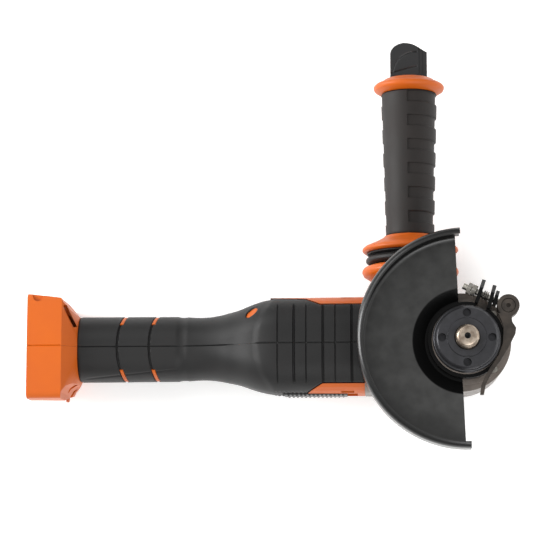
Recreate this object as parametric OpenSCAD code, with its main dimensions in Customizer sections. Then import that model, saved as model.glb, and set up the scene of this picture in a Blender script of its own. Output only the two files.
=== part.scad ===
// Cordless angle grinder for 125 mm discs, without its battery and disc, lying on its back.
// The origin is the middle of the lock nut's outer face. +Z points out of the spindle,
// +X runs from the battery foot to the gear head, and +Y runs towards the side handle.

/* [Spindle and lock nut] */
// Radius of the M14 spindle
spindle_r = 7; // [6.9:0.05:7.1]
// Length of spindle that stands out of the lock nut
spindle_free = 8; // [6:0.5:10]
// Radius of the lock nut
nut_r = 19; // [19:0.5:20]
// Thickness of the lock nut
nut_h = 7.5; // [7:0.1:7.6]
// Radius of the circle on which the spanner holes lie
nut_hole_circle = 15; // [14.5:0.5:15.5]
// Radius of the inner clamping flange
flange_r = 20.5; // [20:0.1:20.8]

/* [Guard] */
// Outer radius of the guard
guard_r = 66.5; // [65.5:0.5:67]
// Thickness of the guard's sheet steel
guard_sheet = 1.8; // [1.5:0.1:2]
// Height of the guard's rim above the lock nut's face
guard_rim_z = 5; // [3:0.5:7]
// Radius of the neck that the guard is clamped round
neck_r = 21; // [20.8:0.1:21]
// Tilt of the guard's straight edge from the Y axis, in degrees
guard_edge_tilt = 2.4; // [0:0.2:5]

/* [Gear head] */
// Height of the motor's axis
motor_z = -50; // [-50.5:0.5:-50]
// Height of the lowest face, on which the tool lies
base_z = -84; // [-86:0.5:-84]
// Radius of the round front rim of the gear case
case_rim_r = 30.2; // [29.8:0.1:30.6]
// Number of teeth on the crown gear
crown_teeth = 36; // [36:4:36]
// Number of teeth on the pinion
pinion_teeth = 9; // [9:1:9]
// Pitch radius of the crown gear at its outer edge
crown_pitch_r = 20; // [19.8:0.1:20]

/* [Housing] */
// Thickness of the rubber cover
cover_t = 1.6; // [1.2:0.1:1.8]
// Thickness of the housing wall under the rubber
wall_t = 2.3; // [2:0.1:2.4]
// Half width of the battery foot
foot_half_w = 32.7; // [31:0.5:34]
// Distance from the spindle's axis to the foot's open face
foot_reach = 271.4; // [270:0.5:274]

/* [Side handle] */
// Distance of the side handle's axis behind the spindle
handle_x = -33.1; // [-34:0.1:-33]
// Height of the side handle's axis
handle_z = -53.6; // [-53.6:0.1:-53]
// Radius of the side handle's two flanges
handle_flange_r = 30.2; // [28:0.2:30.2]
// Length of the rubber grip
grip_len = 91; // [88:1:92]

/* [Hidden] */
$fn = 96;

orange = "#E9702B";
rubber = "#2F2E2E";
black_steel = "#1F1F20";
cast_grey = "#57504B";
bright_steel = "#B5AFA6";

fit_gap = 0.05;      // radial clearance of a turning or sliding fit
part_gap = 0.1;      // clearance between fixed neighbours

// Heights along the spindle
nut_base_z = -nut_h;
nut_step_z = -0.9;
disc_pilot_r = 11.1;
flange_base_z = -13;
neck_top_z = -14.3;
collar_base_z = -24.4;
cover_top_z = -25.6;
case_top_z = -28;
chamber_floor_z = -64;
case_back_z = -78;
case_middle_x = -2.5;  // the round body sits a little behind the spindle

// Crown gear and pinion share the apex where their axes cross
pinion_pitch_r = crown_pitch_r * pinion_teeth / crown_teeth;
tooth_up = 0.8;
tooth_down = 1;
tooth_t = 0.9;
tooth_inner = 0.75;  // inner end of the teeth as a share of the pitch radius
lock_x = 12.5;       // the locking pin's distance from the spindle's axis

// Clamp of the guard, seen from above
pivot = [25.4, 20.3];
screw_tail = [-1.6, 33.3];
clamp_z = -16.2;
clamp_angle = atan2(screw_tail[1] - pivot[1], screw_tail[0] - pivot[0]);

// Body outline at places along X: [x, half width, lowest z, highest z, corner radius]
foot_outline = [
    [-foot_reach, foot_half_w, base_z, -31, 4],
    [-250, foot_half_w, base_z, -31, 4],
    [-241.4, 20.5, -78.5, -40, 17]
];
body_outline = [
    [-241.4, 20.5, -78.5, -40, 17],
    [-176, 20.3, -78.1, -39.8, 17],
    [-165, 19.3, -77.9, -39, 17],
    [-155, 20, -77.75, -37, 18],
    [-145.6, 22, -77.65, -33.5, 18],
    [-137, 25, -77.55, -29, 19],
    [-129, 28, -77.45, -25.5, 20],
    [-120, 30, -77.35, -23.5, 20],
    [-62.1, 30.2, -77, -23, 20]
];
foot_hollow = [
    [-255, foot_half_w - 3, base_z + 3, -34, 3],
    [-252, foot_half_w - 7.5, base_z + 3, -34, 3],
    [-248.6, foot_half_w - 11.7, base_z + 4, -37.5, 6],
    [-241.4, 16.5, -74.5, -44, 13]
];
section_t = 0.2;       // thickness of the slices that the body is stretched over
motor_r = 21.2;
can_x = [-118, -77];
shaft_r = 2.5;

// Screws that join the housing halves: [x, z]
housing_screw_places = [[-246, -56], [-248.7, -73.1], [-222, -71], [-180, -71], [-144, -71]];
// Screws that hold the gear case: distances from the motor's axis along Y and Z
case_screw_y = 19.5;
case_screw_z = 19;
bearing_screw_circle = 23.7;

// Slide switch
slider_x = [-112, -73];
slider_z = [-58.5, -41.5];
slider_travel = 6;

// ---------- helpers ----------

module along_x(z) {
    translate([0, 0, z]) rotate([0, 90, 0]) children();
}

module along_y(x, z) {
    translate([x, 0, z]) rotate([-90, 0, 0]) children();
}

module tube(r_out, r_in, h) {
    difference() {
        cylinder(r = r_out, h = h);
        translate([0, 0, -1]) cylinder(r = r_in, h = h + 2);
    }
}

module motor_disc(x0, x1, r) {
    along_x(motor_z) translate([0, 0, x0]) cylinder(r = r, h = x1 - x0);
}

module motor_ring(x0, x1, r_out, r_in) {
    along_x(motor_z) translate([0, 0, x0]) tube(r_out, r_in, x1 - x0);
}

module block(x, y, z) {
    translate([x[0], y[0], z[0]]) cube([x[1] - x[0], y[1] - y[0], z[1] - z[0]]);
}

// A flat plate that stands on the line from p to q, between two heights
module plate(p, q, t, z0, z1) {
    translate([p[0], p[1], z0])
        rotate(atan2(q[1] - p[1], q[0] - p[0]))
            translate([0, -t / 2, 0])
                cube([norm(q - p), t, z1 - z0]);
}

function arc(cx, cy, r, a0, a1, steps = 6) =
    [for (i = [0 : steps]) let (a = a0 + (a1 - a0) * i / steps) [cx + r * cos(a), cy + r * sin(a)]];

module rounded_rect(w, h, r) {
    hull()
        for (sx = [-1, 1], sy = [-1, 1])
            translate([sx * (w / 2 - r), sy * (h / 2 - r)])
                circle(r = r, $fn = 32);
}

module section(s, grow) {
    translate([s[0], 0, (s[2] + s[3]) / 2])
        rotate([90, 0, 90])
            linear_extrude(section_t)
                rounded_rect(2 * (s[1] + grow), s[3] - s[2] + 2 * grow, s[4] + grow);
}

module skin(outline, grow) {
    for (i = [0 : len(outline) - 2])
        hull() {
            section(outline[i], grow);
            section(outline[i + 1], grow);
        }
}

module half(side) {
    intersection() {
        children();
        translate([-300, side > 0 ? 0.05 : -100.05, -120]) cube([300, 100, 150]);
    }
}

// Wire of a coil spring along +Z: middle radius, wire radius, length and number of turns
module coil(r, wire, h, turns, sides = 6, steps = 12) {
    rings = turns * steps;
    points = [
        for (i = [0 : rings], k = [0 : sides - 1])
            let (a = 360 * i / steps, b = 360 * k / sides, rr = r + wire * cos(b))
                [rr * cos(a), rr * sin(a), wire + (h - 2 * wire) * i / rings + wire * sin(b)]
    ];
    walls = [
        for (i = [0 : rings - 1], k = [0 : sides - 1])
            let (j = (k + 1) % sides)
                [i * sides + k, (i + 1) * sides + k, (i + 1) * sides + j, i * sides + j]
    ];
    start = [[for (k = [0 : sides - 1]) k]];
    finish = [[for (k = [sides - 1 : -1 : 0]) rings * sides + k]];
    polyhedron(points, concat(walls, start, finish), convexity = 8);
}

// Screw along +Z with its head's outer face at z = 0 and its shank below
module screw(head_r, head_h, shank_r, length) {
    difference() {
        translate([0, 0, -head_h]) cylinder(r = head_r, h = head_h);
        translate([0, 0, -head_h / 2]) cylinder(r = head_r / 2, h = head_h, $fn = 6);
    }
    translate([0, 0, -length]) cylinder(r = shank_r, h = length - head_h);
}

module ball_bearing(r_in, r_out, width, balls) {
    middle = (r_in + r_out) / 2;
    ball_r = (r_out - r_in) * 0.24;
    ring_t = (r_out - r_in) * 0.28;
    groove = ball_r + 0.12;
    for (inner = [true, false])
        rotate_extrude()
            difference() {
                translate([inner ? r_in : r_out - ring_t, 0]) square([ring_t, width]);
                translate([middle, width / 2]) circle(r = groove);
            }
    for (i = [0 : balls - 1])
        rotate(360 * i / balls) translate([middle, 0, width / 2]) sphere(r = ball_r);
}

// ---------- housing ----------

// The foot narrows towards the table and is drawn in where it meets the handle
module foot_depth_limit() {
    translate([-300, 0, 0])
        rotate([90, 0, 90])
            linear_extrude(70)
                polygon([
                    [-34, -20], [34, -20], [34, -35], [foot_half_w, -50], [foot_half_w - 5.5, -85],
                    [5.5 - foot_half_w, -85], [-foot_half_w, -50], [-34, -35]
                ]);
}

module foot_plan_limit(inset) {
    translate([0, 0, -100])
        linear_extrude(100)
            offset(delta = -inset)
                polygon([
                    [-280, -34], [-250.4, -34], [-249.7, -28.8], [-247.4, -24.9], [-244.4, -22.8], [-240, -21.4],
                    [-240, 19.3], [-242.8, 20.6], [-245.4, 23.2], [-248.6, 27], [-250.4, 29.9], [-271.6, 32.7],
                    [-280, 32.7]
                ]);
}

// Where the orange housing shows at the sides, seen from above
module side_windows(shrink) {
    translate([0, 0, -100])
        linear_extrude(100)
            offset(delta = -shrink) {
                polygon([[-122, 31.5], [-120.6, 29.5], [-98, 28.4], [-89, 24.6], [-50, 24.6], [-50, 45], [-122, 45]]);
                polygon([[-99.3, -45], [-99.3, -30.9], [-87.7, -24.6], [-50, -24.6], [-50, -45]]);
            }
}

module slider_pocket() {
    block([slider_x[0] - 0.5, slider_x[1] + slider_travel + 0.6], [-40, -28], [slider_z[0] - 0.4, slider_z[1] + 0.55]);
}

module housing_boss_cores() {
    for (p = housing_screw_places)
        along_y(p[0], p[1]) translate([0, 0, -40]) cylinder(r = 4, h = 80, $fn = 24);
}

module housing_screw_holes() {
    for (p = housing_screw_places)
        along_y(p[0], p[1]) {
            translate([0, 0, -14]) cylinder(r = 1.7, h = 28, $fn = 24);
            translate([0, 0, -50]) cylinder(r = 3.1, h = 36, $fn = 24);
        }
}

module battery_bay() {
    block([-268, -258], [-24.2, 24.2], [base_z - 1, -35]);
    block([-foot_reach - 1, -267.9], [-21, 21], [base_z - 1, -35]);
    block([-258.1, -254], [-8, 8], [-46, -38]);
}

module foot() {
    intersection() {
        skin(foot_outline, 0);
        foot_depth_limit();
        foot_plan_limit(0);
    }
}

module housing_shell() {
    difference() {
        union() {
            difference() {
                union() {
                    foot();
                    skin(body_outline, -cover_t - part_gap);
                    intersection() {
                        skin(body_outline, 0);
                        side_windows(part_gap);
                    }
                }
                skin(foot_hollow, 0);
                skin(body_outline, -cover_t - wall_t - part_gap);
            }
            intersection() {
                union() {
                    housing_boss_cores();
                    for (x = [can_x[0] + 3, can_x[1] - 8])
                        motor_ring(x, x + 2, 40, motor_r + part_gap, $fn = 64);
                    for (sy = [-1, 1], sz = [-1, 1])
                        translate([-86, sy * case_screw_y, motor_z + sz * case_screw_z])
                            rotate([0, 90, 0]) cylinder(r = 4.1, h = 24, $fn = 24);
                }
                union() {
                    intersection() {
                        skin(foot_outline, -1);
                        foot_plan_limit(1);
                    }
                    skin(body_outline, -cover_t - 1);
                }
            }
        }
        battery_bay();
        housing_screw_holes();
        for (sy = [-1, 1], sz = [-1, 1])
            translate([-82, sy * case_screw_y, motor_z + sz * case_screw_z])
                rotate([0, 90, 0]) cylinder(r = 2.1, h = 24, $fn = 24);
        slider_pocket();
        block([-103, -88], [-40, -20], [-52.5, -47.5]);
        block([-122, -108], [-26, -21], [-53.5, -46.5]);
        // vents beside the fan, a slot and a notch on the foot
        for (z = [-66, -57, -48, -39])
            block([-76.5, -68.5], [25, 33], [z, z + 3]);
        for (z = [-66, -39])
            block([-76.5, -68.5], [-33, -25], [z, z + 3]);
        translate([-245.6, 18.9, -39]) rotate(24) cube([2.2, 14.5, 14], center = true);
        translate([-264.8, 31.2, -33]) cylinder(r = 3.4, h = 5, $fn = 32);
        // the parting line is drawn as a fine groove across the foot's face
        translate([-262, 0, -31]) rotate([45, 0, 0]) cube([23, 0.8, 0.8], center = true);
    }
}

module housing_left() {
    color(orange) half(1) housing_shell();
}

module housing_right() {
    color(orange) half(-1) housing_shell();
}

module rubber_cover() {
    difference() {
        skin(body_outline, 0);
        skin(body_outline, -cover_t);
        block([-243, -241.1], [-50, 50], [-90, -10]);
        side_windows(0);
        slider_pocket();
        for (p = housing_screw_places)
            along_y(p[0], p[1]) translate([0, 0, -50]) cylinder(r = 3.3, h = 40, $fn = 24);
        translate([-132.5, 21.5, -60])
            rotate(42)
                linear_extrude(50)
                    hull()
                        for (x = [-3.4, 3.4])
                            translate([x, 0]) circle(r = 1.9, $fn = 20);
        for (x = [-216.2, -196.2], side = [-1, 1])
            intersection() {
                translate([x + 60, 0, -62]) tube(60.7, 59.3, 40, $fn = 128);
                block([-230, -180], [side * 25 - 10, side * 25 + 10], [-62, -20]);
            }
    }
}

module cover_left() {
    color(rubber) half(1) rubber_cover();
}

module cover_right() {
    color(rubber) half(-1) rubber_cover();
}

module housing_screws() {
    color(bright_steel)
        for (p = housing_screw_places)
            along_y(p[0], p[1])
                mirror([0, 0, 1])
                    translate([0, 0, 16.5]) screw(2.9, 2.5, 1.5, 27);
}

// ---------- electrics ----------

module terminal_block() {
    color(rubber) {
        block([-267, -258.2], [-15, 15], [-47, -35.2]);
        block([-258.2, -254.2], [-7.5, 7.5], [-45.5, -38.5]);
    }
}

module battery_contacts() {
    color(bright_steel)
        for (y = [-11, -4, 4, 11])
            block([-265.5, -260], [y - 0.4, y + 0.4], [-60, -47]);
}

module control_board() {
    color("darkgreen") block([-236, -192], [-12, 12], [-62, -60.4]);
    color("dimgray") {
        translate([-230, 5, -60.4]) cylinder(r = 4, h = 7);
        for (x = [-218, -210, -202])
            block([x, x + 5], [-10, -6], [-60.4, -51]);
        block([-200, -195], [0, 9], [-60.4, -55]);
    }
}

module switch_module() {
    color("darkslategray") {
        block([-169, -150], [-9, 9], [-66, -50]);
        block([-150, -148.4], [-8, 8], [-60, -54]);
    }
}

module wiring() {
    color("firebrick")
        for (y = [-5, 5]) {
            along_x(-65) translate([0, y, -252.6]) cylinder(r = 1.3, h = 83.5);
            translate([-252.6, y, -66.3]) cylinder(r = 1.3, h = 25.6);
            along_x(-62) translate([0, y, -148.3]) cylinder(r = 1.3, h = 17.1);
        }
}

// ---------- motor ----------

module motor_can() {
    color(bright_steel) {
        difference() {
            motor_disc(can_x[0], can_x[1], motor_r);
            motor_disc(can_x[0] - 1, can_x[1] - 1.8, motor_r - 1.6);
            motor_disc(can_x[1] - 3, can_x[1] + 1, 7);
        }
    }
}

module motor_magnets() {
    color("dimgray")
        along_x(motor_z)
            for (a = [-60, 120])
                rotate(a)
                    rotate_extrude(angle = 120)
                        translate([15.4, -112]) square([4.1, 30]);
}

module motor_end_cap() {
    color(rubber)
        difference() {
            union() {
                motor_disc(-119.5, -118.1, motor_r - 0.2);
                motor_disc(-131, -119.5, 14);
                motor_disc(-135.5, -131, 9.6);
            }
            motor_disc(-129, -117, 6.6);
            motor_disc(-136, -129.5, 8.05);
            motor_disc(-130, -128, 3.4);
            for (a = [0, 180])
                along_x(motor_z) rotate(a) translate([-2.6, 0, -127.1]) cube([5.2, 13, 5.2]);
        }
}

module carbon_brushes() {
    color("#303030")
        for (a = [0, 180])
            along_x(motor_z) rotate(a) translate([-2.5, 6.1, -127]) cube([5, 4, 5]);
}

module brush_springs() {
    color(bright_steel)
        for (a = [0, 180])
            along_x(motor_z)
                rotate(a)
                    translate([0, 10.2, -124.5]) rotate([-90, 0, 0]) coil(1.6, 0.25, 2.5, 3);
}

module rear_motor_bearing() {
    color(bright_steel)
        along_x(motor_z) translate([0, 0, -134.6]) ball_bearing(shaft_r + fit_gap, 8, 5, 7);
}

module front_motor_bearing() {
    color(bright_steel)
        along_x(motor_z) translate([0, 0, -60.5]) ball_bearing(shaft_r + fit_gap, 8, 5, 7);
}

module air_baffle() {
    color(rubber) motor_ring(-76.8, -75.4, 22.4, 12);
}

module armature_shaft() {
    color(bright_steel) motor_disc(-136, -15, shaft_r);
}

module armature_core() {
    color("gray")
        along_x(motor_z)
            translate([0, 0, -108])
                difference() {
                    tube(14.6, shaft_r + fit_gap, 22);
                    for (i = [0 : 11])
                        rotate(30 * i) translate([9, -0.8, -1]) cube([8, 1.6, 24]);
                }
}

module armature_windings() {
    color("#B5652B")
        for (x = [-114, -85.9])
            along_x(motor_z)
                translate([0, 0, x])
                    rotate_extrude()
                        polygon([[5, 0.5], [11, 0], [13, 1.5], [13, 4.5], [11, 5.9], [5, 5.9]]);
}

module commutator() {
    color("#B87333")
        along_x(motor_z)
            translate([0, 0, -128])
                difference() {
                    tube(6, shaft_r + fit_gap, 9);
                    for (i = [0 : 11])
                        rotate(30 * i) translate([5.2, -0.2, -1]) cube([2, 0.4, 11]);
                }
}

module cooling_fan() {
    color("#3A3A3A")
        along_x(motor_z)
            translate([0, 0, -74.6])
                difference() {
                    union() {
                        translate([0, 0, 8.5]) cylinder(r = 20.4, h = 1.5);
                        cylinder(r = 6, h = 10);
                        for (i = [0 : 10])
                            rotate(360 * i / 11)
                                translate([5, 0, 0]) rotate(-18) translate([0, -0.6, 1]) cube([14.5, 1.2, 8]);
                    }
                    translate([0, 0, -1]) cylinder(r = shaft_r + fit_gap, h = 14);
                }
}

module pinion() {
    root_out = pinion_pitch_r - tooth_down;
    tip_out = pinion_pitch_r + tooth_up;
    x_in = -crown_pitch_r * tooth_inner;
    color("#8A857E")
        along_x(motor_z)
            difference() {
                union() {
                    rotate_extrude()
                        polygon([
                            [0, -27], [5.2, -27], [5.2, -crown_pitch_r - 1], [root_out * 1.015, -crown_pitch_r * 1.015],
                            [root_out * tooth_inner, x_in], [0, x_in]
                        ]);
                    for (i = [0 : pinion_teeth - 1])
                        rotate(360 * i / pinion_teeth)
                            rotate([90, 0, 0])
                                translate([0, 0, -tooth_t / 2])
                                    linear_extrude(tooth_t)
                                        polygon([
                                            [-root_out + 0.2, -crown_pitch_r], [-tip_out, -crown_pitch_r],
                                            [-tip_out * tooth_inner, x_in], [-root_out * tooth_inner + 0.2, x_in]
                                        ]);
                }
                translate([0, 0, -30]) cylinder(r = shaft_r + fit_gap, h = 20);
            }
}

// ---------- gear head ----------

module case_corner_holes(r, x0, x1) {
    for (sy = [-1, 1], sz = [-1, 1])
        translate([x0, sy * case_screw_y, motor_z + sz * case_screw_z])
            rotate([0, 90, 0]) cylinder(r = r, h = x1 - x0);
}

module case_flange() {
    translate([-61.8, 0, motor_z - 0.5])
        rotate([90, 0, 90])
            linear_extrude(5)
                union() {
                    for (sx = [-1, 1], sy = [-1, 1])
                        translate([sx * 15, sy * 11.4]) circle(r = 15);
                    square([60, 22.8], center = true);
                    square([30, 52.8], center = true);
                }
}

module gear_case() {
    color(cast_grey)
        difference() {
            union() {
                translate([case_middle_x, 0, case_back_z]) cylinder(r = 29.4, h = case_top_z - case_back_z - 6);
                translate([case_middle_x, 0, case_top_z - 6]) cylinder(r = case_rim_r, h = 6);
                motor_disc(-60, -10, 23.6);
                case_flange();
                along_y(handle_x, handle_z) translate([0, 0, -36]) cylinder(r = 11, h = 72);
                translate([0, 0, base_z]) cylinder(r = 18, h = 8);
            }
            translate([0, 0, chamber_floor_z]) cylinder(r = 21.6, h = 60);
            translate([0, 0, case_top_z]) cylinder(r = 26.4, h = 10);
            motor_disc(-65, -55, 8 + fit_gap);
            motor_disc(-56, -10, 7);
            translate([0, 0, case_back_z]) cylinder(r = 7.2 + fit_gap, h = 20);
            translate([lock_x, 0, base_z - 1]) cylinder(r = 4.2 + 2 * fit_gap, h = 19);
            translate([lock_x, 0, -70]) cylinder(r = 2, h = 10);
            along_y(handle_x, handle_z) translate([0, 0, 16]) cylinder(r = 4 + fit_gap, h = 30);
            along_y(handle_x, handle_z) translate([0, 0, -46]) cylinder(r = 3.4, h = 28);
            case_corner_holes(2.2, -70, -50);
            for (a = [45 : 90 : 315])
                rotate(a) translate([bearing_screw_circle, 0, -38.2]) cylinder(r = 1.6, h = 12);
        }
}

module gear_case_screws() {
    color(bright_steel)
        for (sy = [-1, 1], sz = [-1, 1])
            translate([-53.6, sy * case_screw_y, motor_z + sz * case_screw_z])
                rotate([0, 90, 0]) screw(3.2, 3.1, 2, 26);
}

module bearing_cover() {
    color(cast_grey)
        difference() {
            union() {
                translate([0, 0, case_top_z]) cylinder(r = 26.2, h = cover_top_z - case_top_z);
                translate([0, 0, case_top_z]) cylinder(r = neck_r, h = neck_top_z - case_top_z);
            }
            translate([0, 0, case_top_z - 1]) cylinder(r = 16 + fit_gap, h = 11.5);
            translate([0, 0, -20]) cylinder(r = 13, h = 10);
            for (a = [45 : 90 : 315])
                rotate(a) translate([bearing_screw_circle, 0, 0]) {
                    translate([0, 0, -30]) cylinder(r = 1.6, h = 10);
                    translate([0, 0, cover_top_z - 1.9]) cylinder(r = 2.4, h = 4);
                }
        }
}

module cover_screws() {
    color(bright_steel)
        for (a = [45 : 90 : 315])
            rotate(a) translate([bearing_screw_circle, 0, cover_top_z]) screw(2.3, 1.8, 1.5, 12);
}

module spindle_bearing() {
    color(bright_steel) translate([0, 0, -27.8]) ball_bearing(6 + fit_gap, 16, 10, 8);
}

module spindle_bush() {
    color("#A8874F") translate([0, 0, case_back_z + 0.1]) tube(7.2, 4.5 + fit_gap, 13.5);
}

module dust_seal() {
    color("#222222") translate([0, 0, -17.3]) tube(12.9, 9.4, 2.6);
}

module spindle() {
    color(bright_steel)
        difference() {
            rotate_extrude()
                polygon([
                    [0, -77], [4.5, -77], [4.5, chamber_floor_z], [5.5, chamber_floor_z], [5.5, -33.5],
                    [6, -33.5], [6, -17.6], [9, -17.6], [9, flange_base_z - 0.1],
                    [spindle_r, flange_base_z - 0.1], [spindle_r, -1], [spindle_r - 0.4, -0.8],
                    [spindle_r - 0.4, -0.2], [spindle_r, 0], [spindle_r, spindle_free - 1.2],
                    [spindle_r - 1.2, spindle_free], [0, spindle_free]
                ]);
            translate([0, 0, spindle_free - 3]) cylinder(r = 1.4, h = 4);
        }
}

module crown_gear() {
    root_h = pinion_pitch_r + tooth_down;
    tip_h = pinion_pitch_r - tooth_up;
    r_in = crown_pitch_r * tooth_inner;
    color("#8A857E")
        translate([0, 0, motor_z])
            difference() {
                union() {
                    rotate_extrude()
                        polygon([
                            [0, root_h * tooth_inner - 1], [8.5, root_h * tooth_inner - 1],
                            [8.5, root_h * tooth_inner], [r_in, root_h * tooth_inner],
                            [crown_pitch_r, root_h], [crown_pitch_r + 0.3, root_h + 0.3],
                            [crown_pitch_r + 0.3, 13], [12, 13], [12, 15], [0, 15]
                        ]);
                    for (i = [0 : crown_teeth - 1])
                        rotate(360 * (i + 0.5) / crown_teeth)
                            rotate([90, 0, 0])
                                translate([0, 0, -tooth_t / 2])
                                    linear_extrude(tooth_t)
                                        polygon([
                                            [r_in, root_h * tooth_inner + 0.5], [crown_pitch_r, root_h + 0.5],
                                            [crown_pitch_r, tip_h], [r_in, tip_h * tooth_inner]
                                        ]);
                }
                cylinder(r = 5.5 + fit_gap, h = 20);
                for (a = [0 : 90 : 270])
                    rotate(a) translate([lock_x, 0, 0]) cylinder(r = 2.3, h = 9);
            }
}

module gear_circlip() {
    color("#30302F") translate([0, 0, motor_z + 2]) tube(8.6, 5.5 + fit_gap, 1.2);
}

module inner_flange() {
    color(black_steel)
        difference() {
            rotate_extrude()
                polygon([
                    [0, flange_base_z], [flange_r - 1, flange_base_z], [flange_r, flange_base_z + 1],
                    [flange_r, nut_base_z - 1], [flange_r - 0.8, nut_base_z - 0.1],
                    [disc_pilot_r, nut_base_z - 0.1], [disc_pilot_r, nut_base_z + 1.8], [0, nut_base_z + 1.8]
                ]);
            translate([0, 0, -15]) cylinder(r = spindle_r + fit_gap, h = 15);
        }
}

module lock_nut() {
    color(black_steel)
        difference() {
            rotate_extrude()
                polygon([
                    [0, nut_base_z], [nut_r - 0.5, nut_base_z], [nut_r, nut_base_z + 0.5],
                    [nut_r, nut_step_z - 1.5], [nut_r - 1.4, nut_step_z], [12, nut_step_z], [11.6, 0], [0, 0]
                ]);
            translate([0, 0, -10]) cylinder(r = spindle_r + fit_gap, h = 12);
            translate([0, 0, -10]) cylinder(r = disc_pilot_r + 0.3, h = 4.6);
            translate([0, 0, -0.8]) cylinder(r1 = spindle_r, r2 = spindle_r + 1, h = 1);
            for (a = [0 : 90 : 270])
                rotate(a) {
                    translate([nut_hole_circle, 0, -6]) cylinder(r = 2.5, h = 8);
                    translate([11.2, -1.4, nut_step_z]) cube([3, 2.8, 2]);
                }
        }
}

// ---------- guard and its clamp ----------

module guard_side(shift) {
    rotate(guard_edge_tilt) translate([shift - 200, -150, -60]) cube([200, 300, 120]);
}

// The rim reaches a little further round than the plate
module guard_inside() {
    translate([0, 0, -50]) cylinder(r = guard_r - 4.8, h = 80);
    translate([0, 0, -50]) cylinder(r = guard_r - 1.9, h = 36);
}

module guard_shell() {
    corner = 5;
    plate_z = -21;
    dish_z = collar_base_z;
    corner_r = guard_r - corner;
    corner_z = plate_z + corner;
    lip_r = 4.2;
    color(black_steel) {
        intersection() {
            rotate_extrude()
                polygon(concat(
                    [[23.25, dish_z], [25.6, dish_z], [33.2, plate_z]],
                    arc(corner_r, corner_z, corner, -90, 0),
                    arc(guard_r - lip_r, guard_rim_z - lip_r, lip_r, 0, 86, 8),
                    arc(guard_r - lip_r, guard_rim_z - lip_r, lip_r - guard_sheet, 86, 0, 8),
                    arc(corner_r, corner_z, corner - guard_sheet, 0, -90),
                    [[32.6, plate_z + guard_sheet], [25, dish_z + guard_sheet], [23.25, dish_z + guard_sheet]]
                ));
            union() {
                intersection() {
                    guard_side(-3.4);
                    guard_inside();
                }
                difference() {
                    guard_side(-1);
                    guard_inside();
                }
            }
        }
    }
}

module clamp_bore(r) {
    translate([pivot[0], pivot[1], clamp_z])
        rotate([0, 90, clamp_angle])
            cylinder(r = r, h = 40);
}

module guard_collar() {
    color(black_steel)
        difference() {
            union() {
                difference() {
                    translate([0, 0, collar_base_z]) tube(23.2, neck_r + 0.08, 10.3);
                    rotate(65.5) translate([15, -3.4, -30]) cube([20, 6.8, 30]);
                }
                plate([6.2, 22.1], [11, 36], 2.3, -22, -10);
                plate([13.5, 18.6], [17.4, 32.6], 2.3, -22, -10);
            }
            clamp_bore(2.3);
            translate([0, 0, -30]) cylinder(r = neck_r + 0.08, h = 30);
        }
}

module clamp_plate() {
    color(black_steel)
        difference() {
            plate([17.05, 21], [19.45, 29.3], 2.2, -21.5, -10.5);
            clamp_bore(2.3);
        }
}

module clamp_screw() {
    color(bright_steel)
        difference() {
            union() {
                translate([pivot[0], pivot[1], clamp_z - 2.3]) cylinder(r = 4.8, h = 4.6);
                translate([pivot[0], pivot[1], clamp_z])
                    rotate([0, 90, clamp_angle])
                        translate([0, 0, 4]) cylinder(r = 2, h = 25.9);
            }
            translate([pivot[0], pivot[1], -30]) cylinder(r = 3 + fit_gap, h = 30);
        }
}

module clamp_nuts() {
    color("#77736C")
        difference() {
            for (d = [[21.2, 3.2], [24.6, 2.4]])
                translate([pivot[0], pivot[1], clamp_z])
                    rotate([0, 90, clamp_angle])
                        translate([0, 0, d[0]]) cylinder(r = 4, h = d[1], $fn = 6);
            clamp_bore(2 + fit_gap);
        }
}

module clamp_spring() {
    color(bright_steel)
        translate([pivot[0], pivot[1], clamp_z])
            rotate([0, 90, clamp_angle])
                translate([0, 0, 12.8]) coil(2.9, 0.4, 4.2, 3);
}

module lever_pin() {
    color("#4A4744")
        translate([pivot[0], pivot[1], 0])
            difference() {
                union() {
                    translate([0, 0, -21.6]) cylinder(r = 3, h = 11);
                    translate([0, 0, -10.9]) cylinder(r = 4, h = 1.1);
                    translate([0, 0, -22.6]) cylinder(r = 4, h = 1.1);
                }
                translate([0, 0, -12]) cylinder(r = 1.3, h = 4);
            }
}

module guard_lever() {
    arm = [
        [31.2, 17], [27.2, 13.2], [27.5, 10], [29.8, 6.6], [29.2, 2.7], [25.2, -5], [20, -13.5], [16.2, -18.5],
        [13.1, -23.6], [11, -27.8], [9.9, -33.8], [7.6, -33.8], [8.5, -27.8], [10.6, -22.7], [13.9, -17.4],
        [19, -9.8], [21.6, -3], [22.1, 3], [22.2, 6.5], [21.2, 10.4], [19.2, 15.4]
    ];
    color("#35322F")
        difference() {
            union() {
                translate([0, 0, -13.7]) linear_extrude(4.5) polygon(arm);
                translate([pivot[0], pivot[1], -21.4]) cylinder(r = 6.7, h = 12.2);
            }
            // fork slot: open towards the clamp screw at every angle of the lever
            translate([pivot[0], pivot[1], -18.8]) {
                cylinder(r = 5.3, h = 5.1);
                rotate(-30) translate([-20, -20, 0]) cube([22.5, 40, 5.1]);
            }
            translate([pivot[0], pivot[1], -30]) cylinder(r = 3 + fit_gap, h = 30);
            translate([pivot[0], pivot[1], -11]) cylinder(r = 4.4, h = 5);
        }
}

// ---------- slide switch ----------

module switch_slider() {
    color("#2A2A2C") {
        difference() {
            union() {
                block(slider_x, [-30.5, -28.3], slider_z);
                for (x = [slider_x[0] + 2 : 2.6 : slider_x[1] - 3])
                    block([x, x + 1.3], [-31.1, -30.5], [slider_z[0] + 1, slider_z[1] - 1]);
            }
        }
        block([-102.4, -95.4], [-28.3, -24.5], [-52, -48]);
    }
}

module switch_rod() {
    color("#3A3A3A")
        translate([0, 0, -52])
            linear_extrude(4)
                polygon([
                    [-95.4, -24.4], [-95.4, -22.6], [-126, -22.6], [-146, -12.5], [-148, -12.5],
                    [-148, -14.3], [-126.4, -24.4]
                ]);
}

// ---------- spindle lock ----------

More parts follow.
